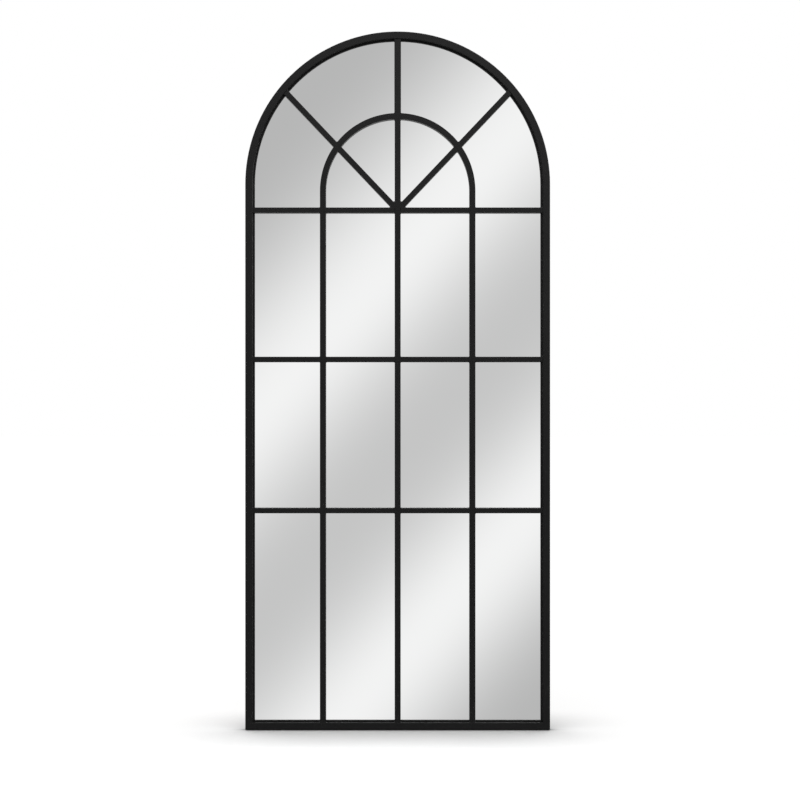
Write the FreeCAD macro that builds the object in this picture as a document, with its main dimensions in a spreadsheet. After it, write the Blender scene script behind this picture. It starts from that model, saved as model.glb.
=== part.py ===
import FreeCAD, Part

import math
import os
import re

import Sketcher

# Arched window mirror that stands on the floor: a welded steel tube frame with an arched top, a
# grille of steel bars in front of one sheet of mirror glass, and the backing and hangers behind it.
# Millimetres. The front faces -Y, +Z is up, and the origin is on the floor, midway across the width
# and midway through the depth.

Vector = FreeCAD.Vector
doc = FreeCAD.newDocument("ArchedWindowMirror")

# ---------------------------------------------------------------- driving dimensions

SIZES = [
    # overall
    ("overall_height", 1800.0, "floor to the top of the arch"),
    ("overall_width", 785.0, "across the uprights"),
    # frame tube
    ("frame_face", 19.0, "width of the frame tube seen from the front"),
    ("frame_wall", 1.5, "tube wall"),
    ("frame_edge", 1.6, "rounding of the tube's long outer edges"),
    ("corner_round", 2.5, "rounding of the frame's two lower corners, seen from the front"),
    # glazing stops
    ("stop_width", 5.0, "step seen inside the frame tube"),
    ("stop_thickness", 3.0, "front to back"),
    # grille
    ("bar_recess", 2.0, "fronts of the bars behind the front of the frame"),
    ("bar_glass_gap", 0.5, "backs of the bars to the glass"),
    ("bar_wall", 1.2, "wall of the grille tubes"),
    ("bar_edge", 1.0, "rounding of the bars' long edges"),
    ("mullion_width", 15.4, "upright bars and the inner arch"),
    ("crossbar_width", 14.0, "level bars"),
    ("spoke_width", 14.6, "slanted bars"),
    ("top_spoke_width", 17.0, "short upright bar above the inner arch"),
    ("mullion_offset", 192.6, "centre of a side mullion from the middle"),
    ("upper_row_drop", 67.5, "upper crossbars, where the spokes meet, below the centre of the hoop"),
    ("middle_row_drop", 384.5, "middle crossbars below the upper ones"),
    ("lower_row_drop", 389.4, "lower crossbars below the middle ones"),
    ("inner_arch_rise", 50.0, "centre of the inner arch above the upper crossbars"),
    ("spoke_angle", 46.5, "slope of the slanted bars in degrees"),
    # glass and what is behind it
    ("glass_recess", 15.0, "front of the glass behind the front of the frame"),
    ("glass_thickness", 4.0, "mirror glass"),
    ("glass_clearance", 1.5, "edge of the glass to the frame tube"),
    ("foam_thickness", 2.0, "foam sheet"),
    ("foam_inset", 6.0, "edge of the foam inside the edge of the glass"),
    ("board_thickness", 5.0, "backing board"),
    ("clip_step", 4.0, "rear of the frame behind the rear of the board"),
    ("block_length", 40.0, "setting blocks under the glass"),
    ("block_inset", 100.0, "outer end of a setting block from the frame's inner face"),
    # retaining clips
    ("clip_width", 14.0, "along the frame"),
    ("clip_thickness", 1.2, "spring steel strip"),
    ("clip_reach", 16.0, "toe of a clip over the board, from the frame's inner face"),
    ("clip_foot_gap", 3.5, "outer end of a clip from the frame's outer face"),
    ("clip_web_gap", 0.3, "bent part of a clip from the frame's inner face"),
    ("side_clips", 4, "clips on each upright"),
    ("bottom_clips", 3, "clips on the bottom rail"),
    ("arch_clips", 5, "clips on the arch"),
    ("screw_shank", 3.4, "diameter of every screw's shank"),
    ("screw_length", 8.0, "length of a screw below its head"),
    ("head_width", 6.8, "diameter of a screw's head"),
    ("head_height", 2.2, "screw heads"),
    ("head_edge", 1.2, "rounding of a screw's head"),
    ("slot_width", 1.0, "cross recess of a screw"),
    ("slot_length", 3.8, "cross recess of a screw"),
    ("slot_depth", 1.2, "cross recess of a screw"),
    # hangers
    ("hanger_drop", 35.5, "axis of the hanging rings below the centre of the hoop"),
    ("strap_width", 9.0, "hanger strap"),
    ("strap_thickness", 1.2, "hanger strap"),
    ("strap_length", 42.0, "ring axis to the lower end of the strap"),
    ("strap_screw_first", 20.0, "ring axis to the upper screw"),
    ("strap_screw_pitch", 15.0, "between the two screws of a strap"),
    ("ring_wire", 2.5, "wire of the hanging rings"),
    ("ring_clearance", 0.3, "ring wire inside the rolled eye, all round"),
    ("ring_half_width", 7.5, "centre of the wire from the middle of the ring"),
    ("ring_drop", 5.0, "ring axis to the start of the round end"),
    ("ring_corner", 2.4, "bend at the corners of the ring"),
    ("eye_opening", 80.0, "angle left open by the rolled eye, in degrees"),
    # rubber parts
    ("foot_thickness", 1.5, "foot pads"),
    ("foot_length", 60.0, "foot pads"),
    ("foot_inset", 1.6, "front and rear of a foot pad inside the rail's faces"),
    ("foot_end", 32.5, "outer end of a foot pad from the frame's outer face"),
    ("bumper_height", 6.0, "wall bumpers, and so how far they stand behind the frame"),
    ("bumper_width", 12.0, "diameter of a wall bumper"),
    ("bumper_edge", 1.0, "rounding of a bumper's rear edge"),
    ("lower_bumper_height", 60.0, "lower bumpers above the floor"),
    ("upper_bumper_angle", 18.0, "upper bumpers from the top of the arch, in degrees"),
]

sheet = doc.addObject("Spreadsheet::Sheet", "Sizes")
for row, (alias, number, note) in enumerate(SIZES, start=1):
    sheet.set(f"A{row}", alias)
    sheet.set(f"B{row}", str(number))
    sheet.setAlias(f"B{row}", alias)
    sheet.set(f"C{row}", note)
doc.recompute()

ALIAS = re.compile(r"\b(" + "|".join(alias for alias, _, _ in SIZES) + r")\b")


def expression(text):
    """Turn a formula in plain aliases into one that an object of the document can hold."""
    return ALIAS.sub(r"Sizes.\1", str(text))


def value(text):
    """Number that a formula gives with the sheet as it stands."""
    return float(sheet.evalExpression(expression(text)))


# Formulas used by more than one piece. Y runs from the front of the frame to the bumpers' rear faces.
HALF_WIDTH = "(overall_width / 2)"
FRAME_DEPTH = "(glass_recess + glass_thickness + foam_thickness + board_thickness + clip_step)"
FRONT = f"(-({FRAME_DEPTH} + bumper_height) / 2)"
REAR = f"({FRONT} + {FRAME_DEPTH})"
FRAME_FOOT = "foot_thickness"
RAIL_TOP = "(foot_thickness + frame_face)"
INNER_HALF = f"({HALF_WIDTH} - frame_face)"
ARCH_HEIGHT = f"(overall_height - {HALF_WIDTH})"
UPPER_ROW = f"({ARCH_HEIGHT} - upper_row_drop)"
MIDDLE_ROW = f"({UPPER_ROW} - middle_row_drop)"
LOWER_ROW = f"({MIDDLE_ROW} - lower_row_drop)"
INNER_ARCH_HEIGHT = f"({UPPER_ROW} + inner_arch_rise)"
HANGER_HEIGHT = f"({ARCH_HEIGHT} - hanger_drop)"
GLASS_FRONT = f"({FRONT} + glass_recess)"
GLASS_REAR = f"({GLASS_FRONT} + glass_thickness)"
FOAM_REAR = f"({GLASS_REAR} + foam_thickness)"
BOARD_REAR = f"({FOAM_REAR} + board_thickness)"
STOP_FRONT = f"({GLASS_FRONT} - stop_thickness)"
BAR_FRONT = f"({FRONT} + bar_recess)"
BAR_REAR = f"({GLASS_FRONT} - bar_glass_gap)"
GLASS_HALF = f"({INNER_HALF} - glass_clearance)"
GLASS_FOOT = f"({RAIL_TOP} + glass_clearance)"
TUBE_CENTRE = f"({HALF_WIDTH} - frame_face / 2)"
EYE_RADIUS = "(ring_wire / 2 + ring_clearance)"
EYE_DEPTH = f"({REAR} + strap_thickness + {EYE_RADIUS})"


# ---------------------------------------------------------------- building blocks


def bind(thing, **formulas):
    """Bind properties of an object to formulas. A double underscore stands for a dot."""
    for name, text in formulas.items():
        thing.setExpression(name.replace("__", "."), expression(text))


def place(thing, x=0, y=0, z=0, turn=0):
    """Place an object by formulas: a shift, after a turn about the Y axis in degrees."""
    thing.Placement = FreeCAD.Placement(Vector(value(x), value(y), value(z)),
                                        FreeCAD.Rotation(Vector(0, 1, 0), value(turn)))
    bind(thing, Placement__Base__x=x, Placement__Base__y=y, Placement__Base__z=z)
    if turn != 0:
        bind(thing, Placement__Rotation__Angle=turn)
    return thing


def new_body(label):
    body = doc.addObject("PartDesign::Body", label)
    body.Label = label
    return body


def new_sketch(body, name, role, offset=None):
    """Sketch on an origin plane of its own body, moved along the plane's normal if asked."""
    sketch = body.newObject("Sketcher::SketchObject", f"{body.Label}_{name}")
    plane = next(item for item in body.Origin.OriginFeatures if item.Role == role)
    sketch.AttachmentSupport = (plane, "")
    sketch.MapMode = "FlatFace"
    if offset is not None:
        bind(sketch, AttachmentOffset__Base__z=offset)
    return sketch


def dimension(sketch, kind, where, text):
    """Add a distance, radius or angle constraint that follows a formula."""
    number = value(text)
    index = sketch.addConstraint(Sketcher.Constraint(kind, *where, number))
    sketch.setExpression(f"Constraints[{index}]", expression(text))


def fix_point(sketch, geometry, end, x, y):
    """Hold a point at formulas for its two coordinates."""
    dimension(sketch, "DistanceX", (-1, 1, geometry, end), x)
    dimension(sketch, "DistanceY", (-1, 1, geometry, end), y)


def polygon(sketch, *corners):
    """Closed outline whose corners are pairs of formulas."""
    points = [Vector(value(x), value(y), 0) for x, y in corners]
    count = len(points)
    first = None
    for index in range(count):
        line = Part.LineSegment(points[index], points[(index + 1) % count])
        added = sketch.addGeometry(line)
        first = added if first is None else first
    for index in range(count):
        following = first + (index + 1) % count
        sketch.addConstraint(Sketcher.Constraint("Coincident", first + index, 2, following, 1))
    for index, (x, y) in enumerate(corners):
        fix_point(sketch, first + index, 1, x, y)


def rectangle(sketch, left, right, low, high):
    polygon(sketch, (left, low), (right, low), (right, high), (left, high))


def circle(sketch, x, y, diameter):
    centre = Vector(value(x), value(y), 0)
    added = sketch.addGeometry(Part.Circle(centre, Vector(0, 0, 1), value(diameter) / 2))
    fix_point(sketch, added, 3, x, y)
    dimension(sketch, "Diameter", (added,), diameter)


def ring_section(sketch, left, right, low, high, wall):
    """Rectangle with a smaller one inside it: the section of a tube."""
    rectangle(sketch, left, right, low, high)
    rectangle(sketch, f"{left} + {wall}", f"{right} - {wall}", f"{low} + {wall}", f"{high} - {wall}")


def pad(body, sketch, length, midplane=False, backwards=False):
    feature = body.newObject("PartDesign::Pad", f"{sketch.Name}_pad")
    feature.Profile = sketch
    feature.Midplane = midplane
    feature.Reversed = backwards
    bind(feature, Length=length)
    return feature


def pocket_through(body, sketch, length):
    """Cut that reaches to both sides of its sketch, and must take something away."""
    doc.recompute()
    before = body.Shape.Volume
    feature = body.newObject("PartDesign::Pocket", f"{sketch.Name}_pocket")
    feature.Profile = sketch
    feature.Midplane = True
    bind(feature, Length=length)
    doc.recompute()
    if not body.Shape.Volume < before:
        raise RuntimeError(f"{feature.Name} cuts nothing")
    return feature


def revolve(body, sketch, angle):
    """Turn a sketch on the YZ plane about the Y axis, to the same angle on both sides."""
    feature = body.newObject("PartDesign::Revolution", f"{sketch.Name}_turn")
    feature.Profile = sketch
    feature.ReferenceAxis = (sketch, ["H_Axis"])
    feature.Angle = angle
    feature.Midplane = True
    return feature


def round_edges(body, feature, radius, wanted):
    """Fillet the edges of a feature that a test picks."""
    doc.recompute()
    names = [f"Edge{index}" for index, edge in enumerate(feature.Shape.Edges, start=1) if wanted(edge)]
    fillet = body.newObject("PartDesign::Fillet", f"{feature.Name}_edges")
    fillet.Base = (feature, names)
    bind(fillet, Radius=radius)
    return fillet


def primitive(kind, name, **formulas):
    thing = doc.addObject(kind, name)
    bind(thing, **formulas)
    return thing


def block(name, x, y, z, length, width, height):
    """Box with a corner and three sizes given by formulas."""
    box = primitive("Part::Box", name, Length=length, Width=width, Height=height)
    return place(box, x, y, z)


def disc(name, radius, z, low, high, angle=360):
    """Cylinder about a line along Y at a height, between two depths. At 180 degrees, its upper half."""
    cylinder = primitive("Part::Cylinder", name, Radius=radius, Height=f"({high}) - ({low})")
    cylinder.Angle = angle
    cylinder.Placement.Rotation = FreeCAD.Rotation(Vector(1, 0, 0), 90)
    bind(cylinder, Placement__Base__y=high, Placement__Base__z=z)
    return cylinder


def combine(kind, name, base, tool):
    """Part::Cut or Part::Common of two objects."""
    result = doc.addObject(kind, name)
    result.Base = base
    result.Tool = tool
    return result


def group(label, master, spots):
    """Separate copies of one piece under one name. Each spot gives the formulas for place()."""
    links = []
    for number, spot in enumerate(spots, start=1):
        link = doc.addObject("App::Link", f"{label}_{number}")
        link.LinkedObject = master
        links.append(place(link, **spot))
    compound = doc.addObject("Part::Compound", label)
    compound.Links = links
    return compound


# ---------------------------------------------------------------- frame tubes


def near(first, second):
    return abs(first - second) < 0.01


def tube_corner(axis, across, limits, depths):
    """Test for the long outer edges of a straight tube that runs along an axis."""
    def wanted(edge):
        point = edge.Vertexes[0].Point
        return (isinstance(edge.Curve, Part.Line)
                and abs(edge.Curve.Direction.dot(axis)) > 0.999
                and any(near(getattr(point, across), value(limit)) for limit in limits)
                and any(near(point.y, value(depth)) for depth in depths))
    return wanted


def hoop_corner(radii, depths):
    """Test for the long outer edges of a tube bent about an axis along Y."""
    def wanted(edge):
        return (isinstance(edge.Curve, Part.Circle)
                and any(near(edge.Curve.Radius, value(radius)) for radius in radii)
                and any(near(edge.Curve.Center.y, value(depth)) for depth in depths))
    return wanted


def clip_spots_on_upright():
    """Heights of the clips on an upright, evenly spread."""
    count = int(value("side_clips"))
    step = f"({ARCH_HEIGHT} - {RAIL_TOP}) / {count}"
    return [f"({RAIL_TOP} + {index + 0.5} * {step})" for index in range(count)]


def clip_spots_on_rail():
    """Places of the clips on the bottom rail, from left to right."""
    count = int(value("bottom_clips"))
    return [f"({(index + 0.5) / count - 0.5} * 2 * {INNER_HALF})" for index in range(count)]


def clip_angles_on_arch():
    """Angles of the clips on the arch from its top, in degrees, from left to right."""
    count = int(value("arch_clips"))
    return [180.0 * ((index + 0.5) / count - 0.5) for index in range(count)]


CLIP_SCREW = "((frame_face - clip_foot_gap) / 2)"  # from the frame's inner face
CLIP_SCREW_RADIUS = f"({INNER_HALF} + {CLIP_SCREW})"


def screw_holes(body, spots):
    """Holes through the rear wall of a frame tube, each at a pair of formulas for X and Z."""
    sketch = new_sketch(body, "holes", "XZ_Plane", offset=f"-({REAR} - frame_wall / 2)")
    for x, z in spots:
        circle(sketch, x, z, "screw_shank")
    pocket_through(body, sketch, "frame_wall * 3")


def round_corner(body, side):
    """Take the sharp tip off a lower corner of the frame, in the piece on either side of its mitre."""
    sketch = new_sketch(body, "left_corner" if side < 0 else "right_corner", "XZ_Plane")
    edge_x = f"{side} * {HALF_WIDTH}"
    inner_x = f"{side} * ({HALF_WIDTH} - corner_round)"
    raised = f"({FRAME_FOOT} + corner_round)"
    tip = Vector(value(edge_x), value(FRAME_FOOT), 0)
    above = Vector(value(edge_x), value(raised), 0)
    beside = Vector(value(inner_x), value(FRAME_FOOT), 0)
    centre = Vector(value(inner_x), value(raised), 0)
    halfway = centre + (tip - centre).normalize() * value("corner_round")
    sketch.addGeometry(Part.LineSegment(above, tip))
    sketch.addGeometry(Part.LineSegment(tip, beside))
    arc = sketch.addGeometry(Part.Arc(beside, halfway, above))
    start, end = sorted((1, 2), key=lambda which: sketch.getPoint(arc, which).distanceToPoint(beside))
    sketch.addConstraint(Sketcher.Constraint("Coincident", 0, 2, 1, 1))
    sketch.addConstraint(Sketcher.Constraint("Coincident", 1, 2, arc, start))
    sketch.addConstraint(Sketcher.Constraint("Coincident", arc, end, 0, 1))
    fix_point(sketch, 0, 1, edge_x, raised)
    fix_point(sketch, 0, 2, edge_x, FRAME_FOOT)
    fix_point(sketch, 1, 2, inner_x, FRAME_FOOT)
    dimension(sketch, "Radius", (arc,), "corner_round")
    pocket_through(body, sketch, f"{FRAME_DEPTH} * 3")


def upright(side, label):
    """Side tube of the frame, mitred at the foot. Side is -1 for the left and 1 for the right."""
    body = new_body(label)
    section = new_sketch(body, "section", "XY_Plane", offset=FRAME_FOOT)
    left, right = sorted([f"{side} * {INNER_HALF}", f"{side} * {HALF_WIDTH}"], key=value)
    ring_section(section, left, right, FRONT, REAR, "frame_wall")
    tube = pad(body, section, f"{ARCH_HEIGHT} - {FRAME_FOOT}")
    round_edges(body, tube, "frame_edge",
                tube_corner(Vector(0, 0, 1), "x", (left, right), (FRONT, REAR)))
    mitre = new_sketch(body, "mitre", "XZ_Plane")
    # The cut takes the corner below the line from the tube's outer foot to the rail's inner corner.
    polygon(mitre, (f"{side} * {HALF_WIDTH}", FRAME_FOOT),
            (f"{side} * ({INNER_HALF} - frame_face)", f"{RAIL_TOP} + frame_face"),
            (f"{side} * ({INNER_HALF} - frame_face)", FRAME_FOOT))
    pocket_through(body, mitre, f"{FRAME_DEPTH} * 3")
    round_corner(body, side)
    clip_x = f"({side} * {CLIP_SCREW_RADIUS})"
    spots = [(clip_x, z) for z in clip_spots_on_upright()]
    strap_x = f"({side} * {TUBE_CENTRE})"
    spots += [(strap_x, f"({HANGER_HEIGHT} - strap_screw_first)"),
              (strap_x, f"({HANGER_HEIGHT} - strap_screw_first - strap_screw_pitch)")]
    screw_holes(body, spots)
    return body


def bottom_rail():
    """Bottom tube of the frame, mitred at both ends."""
    body = new_body("bottom_rail")
    section = new_sketch(body, "section", "YZ_Plane")
    ring_section(section, FRONT, REAR, FRAME_FOOT, RAIL_TOP, "frame_wall")
    tube = pad(body, section, "overall_width", midplane=True)
    round_edges(body, tube, "frame_edge",
                tube_corner(Vector(1, 0, 0), "z", (FRAME_FOOT, RAIL_TOP), (FRONT, REAR)))
    mitre = new_sketch(body, "mitre", "XZ_Plane")
    for side in (-1, 1):
        # The cut takes the corner above the same slanted line, past the end of the tube.
        polygon(mitre, (f"{side} * {HALF_WIDTH}", FRAME_FOOT),
                (f"{side} * ({INNER_HALF} - frame_face)", f"{RAIL_TOP} + frame_face"),
                (f"{side} * ({HALF_WIDTH} + frame_face)", f"{RAIL_TOP} + frame_face"),
                (f"{side} * ({HALF_WIDTH} + frame_face)", FRAME_FOOT))
    pocket_through(body, mitre, f"{FRAME_DEPTH} * 3")
    for side in (-1, 1):
        round_corner(body, side)
    screw_holes(body, [(x, f"({RAIL_TOP} - {CLIP_SCREW})") for x in clip_spots_on_rail()])
    return body


def arch_hoop():
    """Top tube of the frame, bent to a half circle."""
    body = new_body("arch_hoop")
    section = new_sketch(body, "section", "YZ_Plane")
    ring_section(section, FRONT, REAR, INNER_HALF, HALF_WIDTH, "frame_wall")
    tube = revolve(body, section, 180)
    round_edges(body, tube, "frame_edge", hoop_corner((INNER_HALF, HALF_WIDTH), (FRONT, REAR)))
    spots = [(f"({CLIP_SCREW_RADIUS} * sin({angle}))", f"({CLIP_SCREW_RADIUS} * cos({angle}))")
             for angle in clip_angles_on_arch()]
    screw_holes(body, spots)
    return place(body, z=ARCH_HEIGHT)


# ---------------------------------------------------------------- glazing stops


def side_stop(side, label):
    """Flat bar along an upright's inner face, mitred at the foot."""
    body = new_body(label)
    outline = new_sketch(body, "outline", "XZ_Plane", offset=f"-{STOP_FRONT}")
    polygon(outline, (f"{side} * {INNER_HALF}", RAIL_TOP),
            (f"{side} * {INNER_HALF}", ARCH_HEIGHT),
            (f"{side} * ({INNER_HALF} - stop_width)", ARCH_HEIGHT),
            (f"{side} * ({INNER_HALF} - stop_width)", f"{RAIL_TOP} + stop_width"))
    pad(body, outline, "stop_thickness", backwards=True)
    return body


def bottom_stop():
    """Flat bar along the bottom rail, mitred at both ends."""
    body = new_body("bottom_stop")
    outline = new_sketch(body, "outline", "XZ_Plane", offset=f"-{STOP_FRONT}")
    polygon(outline, (f"-{INNER_HALF}", RAIL_TOP), (INNER_HALF, RAIL_TOP),
            (f"{INNER_HALF} - stop_width", f"{RAIL_TOP} + stop_width"),
            (f"-({INNER_HALF} - stop_width)", f"{RAIL_TOP} + stop_width"))
    pad(body, outline, "stop_thickness", backwards=True)
    return body


def arch_stop():
    """Flat bar bent along the arch's inner face."""
    body = new_body("arch_stop")
    section = new_sketch(body, "section", "YZ_Plane")
    rectangle(section, STOP_FRONT, GLASS_FRONT, f"{INNER_HALF} - stop_width", INNER_HALF)
    revolve(body, section, 180)
    return place(body, z=ARCH_HEIGHT)


# ---------------------------------------------------------------- grille


def bar_blank(name, width, length, notches=()):
    """Straight grille tube that runs up its own Z axis from its origin.

    A notch clears a glazing stop at one end: "start" or "end".
    """
    body = new_body(name)
    section = new_sketch(body, "section", "XY_Plane")
    half = f"{width} / 2"
    ring_section(section, f"-{half}", half, BAR_FRONT, BAR_REAR, "bar_wall")
    tube = pad(body, section, length)
    round_edges(body, tube, "bar_edge",
                tube_corner(Vector(0, 0, 1), "x", (f"-{half}", half), (BAR_FRONT, BAR_REAR)))
    for end in notches:
        low = "0" if end == "start" else f"{length} - stop_width"
        high = "stop_width" if end == "start" else length
        notch = new_sketch(body, f"notch_{end}", "YZ_Plane")
        rectangle(notch, STOP_FRONT, GLASS_FRONT, low, high)
        pocket_through(body, notch, f"{width} * 2")
    return body


INNER_ARCH_INSIDE = "(mullion_offset - mullion_width / 2)"
INNER_ARCH_OUTSIDE = "(mullion_offset + mullion_width / 2)"


def side_mullion(side, label):
    """Upright bar from the bottom rail to the foot of the inner arch."""
    body = bar_blank(label, "mullion_width", f"{INNER_ARCH_HEIGHT} - {RAIL_TOP}", notches=("start",))
    return place(body, x=f"{side} * mullion_offset", z=RAIL_TOP)


def inner_arch():
    """Grille tube bent to a half circle on top of the two side mullions."""
    body = new_body("inner_arch")
    section = new_sketch(body, "section", "YZ_Plane")
    ring_section(section, BAR_FRONT, BAR_REAR, INNER_ARCH_INSIDE, INNER_ARCH_OUTSIDE, "bar_wall")
    tube = revolve(body, section, 180)
    round_edges(body, tube, "bar_edge",
                hoop_corner((INNER_ARCH_INSIDE, INNER_ARCH_OUTSIDE), (BAR_FRONT, BAR_REAR)))
    return place(body, z=INNER_ARCH_HEIGHT)


def crossbars(row, height):
    """Four level bars of one row, each between its two neighbours."""
    half = "mullion_width / 2"
    spans = [
        ("far_left", f"-{INNER_HALF}", f"-mullion_offset - {half}", ("start",)),
        ("left", f"-mullion_offset + {half}", f"-{half}", ()),
        ("right", half, f"mullion_offset - {half}", ()),
        ("far_right", f"mullion_offset + {half}", INNER_HALF, ("end",)),
    ]
    bars = []
    for place_name, start, stop, notches in spans:
        label = f"{row}_crossbar_{place_name}"
        body = bar_blank(label, "crossbar_width", f"({stop}) - ({start})", notches)
        bars.append(place(body, x=start, z=height, turn=90))
    return bars


def grille_tools():
    """Solids that trim the bars which meet the two arches and the hub."""
    low = f"{FRONT} - {FRAME_DEPTH}"
    high = f"{REAR} + {FRAME_DEPTH}"
    centre = INNER_ARCH_HEIGHT
    return {
        "hoop": disc("inside_of_hoop", INNER_HALF, ARCH_HEIGHT, low, high),
        "outside": disc("outside_of_inner_arch", INNER_ARCH_OUTSIDE, centre, low, high),
        "dome": disc("dome_of_inner_arch", INNER_ARCH_OUTSIDE, centre, low, high, angle=180),
        "inside": disc("inside_of_inner_arch", INNER_ARCH_INSIDE, centre, low, high),
        "mullion": block("hub_mullion_space", "-mullion_width / 2", low, RAIL_TOP,
                         "mullion_width", f"({high}) - ({low})", "overall_height"),
        "crossbar": block("hub_crossbar_space", "-mullion_offset", low,
                          f"{UPPER_ROW} - mullion_offset", "mullion_offset * 2",
                          f"({high}) - ({low})", "mullion_offset + crossbar_width / 2"),
    }


def centre_mullion(tools):
    """Upright bar from the bottom rail, through the hub, to the underside of the inner arch."""
    tall = f"{INNER_ARCH_HEIGHT} + mullion_offset - {RAIL_TOP}"
    blank = place(bar_blank("centre_mullion_blank", "mullion_width", tall, ("start",)), z=RAIL_TOP)
    band = combine("Part::Cut", "inner_arch_band", tools["dome"], tools["inside"])
    return combine("Part::Cut", "centre_mullion", blank, band)


def inner_spoke(side, label, tools):
    """Slanted bar from the hub to the inner arch."""
    turn = f"{side} * (90 - spoke_angle)"
    blank = bar_blank(f"{label}_blank", "spoke_width", "mullion_offset * 2")
    place(blank, z=UPPER_ROW, turn=turn)
    short = combine("Part::Common", f"{label}_in_arch", blank, tools["inside"])
    beside = combine("Part::Cut", f"{label}_beside_mullion", short, tools["mullion"])
    return combine("Part::Cut", label, beside, tools["crossbar"])


def outer_spoke(label, width, turn, tools, stop):
    """Bar from the inner arch to the hoop, notched over the arch's glazing stop."""
    blank = bar_blank(f"{label}_blank", width, HALF_WIDTH)
    start = f"({UPPER_ROW} + {INNER_ARCH_INSIDE} / 2 * cos({turn}))"
    place(blank, x=f"{INNER_ARCH_INSIDE} / 2 * sin({turn})", z=start, turn=turn)
    inside = combine("Part::Common", f"{label}_in_hoop", blank, tools["hoop"])
    trimmed = combine("Part::Cut", f"{label}_off_arch", inside, tools["outside"])
    return combine("Part::Cut", label, trimmed, stop)


# ---------------------------------------------------------------- glass, foam and board


def arched_sheet(label, inset, low, front, thickness):
    """Flat sheet with a half-round top. The inset runs from the glass's edge all round."""
    body = new_body(label)
    outline = new_sketch(body, "outline", "XZ_Plane", offset=f"-{front}")
    radius = f"({GLASS_HALF} - {inset})"
    reach = value(radius)
    foot = value(low)
    spring = value(ARCH_HEIGHT)
    corners = [Vector(-reach, spring, 0), Vector(-reach, foot, 0), Vector(reach, foot, 0),
               Vector(reach, spring, 0)]
    for index in range(3):
        outline.addGeometry(Part.LineSegment(corners[index], corners[index + 1]))
    round_top = Part.Circle(Vector(0, spring, 0), Vector(0, 0, 1), reach)
    outline.addGeometry(Part.ArcOfCircle(round_top, 0, math.pi))
    for first, second in ((0, 1), (1, 2)):
        outline.addConstraint(Sketcher.Constraint("Coincident", first, 2, second, 1))
    outline.addConstraint(Sketcher.Constraint("Coincident", 2, 2, 3, 1))
    outline.addConstraint(Sketcher.Constraint("Coincident", 3, 2, 0, 1))
    fix_point(outline, 0, 1, f"-{radius}", ARCH_HEIGHT)
    fix_point(outline, 1, 1, f"-{radius}", low)
    fix_point(outline, 2, 1, radius, low)
    fix_point(outline, 3, 3, "0", ARCH_HEIGHT)
    dimension(outline, "DistanceY", (-1, 1, 2, 2), ARCH_HEIGHT)
    pad(body, outline, thickness, backwards=True)
    return body


def setting_block(side, label):
    """Rubber block between the bottom rail and the foot of the glass and board."""
    centre = f"({INNER_HALF} - block_inset - block_length / 2)"
    return block(label, f"{side} * {centre} - block_length / 2", GLASS_FRONT, RAIL_TOP,
                 "block_length", f"{BOARD_REAR} - {GLASS_FRONT}", "glass_clearance")


# ---------------------------------------------------------------- retaining clips


def clip_master():
    """Bent strip: its foot on the frame's rear face, its toe on the board.

    Its own Z axis points from the frame's middle outwards, with zero at the frame's inner face.
    """
    body = new_body("clip_master")
    profile = new_sketch(body, "profile", "YZ_Plane")
    foot_rear = f"{REAR} + clip_thickness"
    toe_rear = f"{BOARD_REAR} + clip_thickness"
    web_front = "-clip_web_gap"
    web_rear = "-(clip_web_gap + clip_thickness)"
    polygon(profile, (REAR, "frame_face - clip_foot_gap"), (foot_rear, "frame_face - clip_foot_gap"),
            (foot_rear, web_rear), (toe_rear, web_rear), (toe_rear, "-clip_reach"),
            (BOARD_REAR, "-clip_reach"), (BOARD_REAR, web_front), (REAR, web_front))
    pad(body, profile, "clip_width", midplane=True)
    hole = new_sketch(body, "hole", "XZ_Plane", offset=f"-{REAR}")
    circle(hole, "0", CLIP_SCREW, "screw_shank")
    pocket_through(body, hole, "clip_thickness * 4")
    return body


def screw_master():
    """Pan head screw along Y with a cross recess, its head's underside at zero depth."""
    body = new_body("screw_master")
    profile = new_sketch(body, "profile", "YZ_Plane")
    polygon(profile, ("-screw_length", "0"), ("-screw_length", "screw_shank / 2"),
            ("0", "screw_shank / 2"), ("0", "head_width / 2"), ("head_height", "head_width / 2"),
            ("head_height", "0"))
    turned = revolve(body, profile, 360)
    round_edges(body, turned, "head_edge", hoop_corner(("head_width / 2",), ("head_height",)))
    recess = new_sketch(body, "recess", "XZ_Plane", offset="-head_height")
    wide, long = "slot_width / 2", "slot_length / 2"
    polygon(recess, (wide, wide), (long, wide), (long, f"-{wide}"), (wide, f"-{wide}"),
            (wide, f"-{long}"), (f"-{wide}", f"-{long}"), (f"-{wide}", f"-{wide}"),
            (f"-{long}", f"-{wide}"), (f"-{long}", wide), (f"-{wide}", wide),
            (f"-{wide}", long), (wide, long))
    pocket_through(body, recess, "slot_depth * 2")
    return body


def clip_spots(inner, depth):
    """Where the clips or their screws go.

    The formulas say how far outside the frame's inner face, and how deep, the piece's origin lies.
    """
    spots = []
    for side in (-1, 1):
        for z in clip_spots_on_upright():
            spots.append({"x": f"{side} * ({INNER_HALF} + {inner})", "y": depth, "z": z,
                          "turn": 90 * side})
    for x in clip_spots_on_rail():
        spots.append({"x": x, "y": depth, "z": f"{RAIL_TOP} - {inner}", "turn": 180})
    for angle in clip_angles_on_arch():
        spots.append({"x": f"({INNER_HALF} + {inner}) * sin({angle})", "y": depth,
                      "z": f"{ARCH_HEIGHT} + ({INNER_HALF} + {inner}) * cos({angle})",
                      "turn": angle})
    return spots


# ---------------------------------------------------------------- hangers


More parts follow.
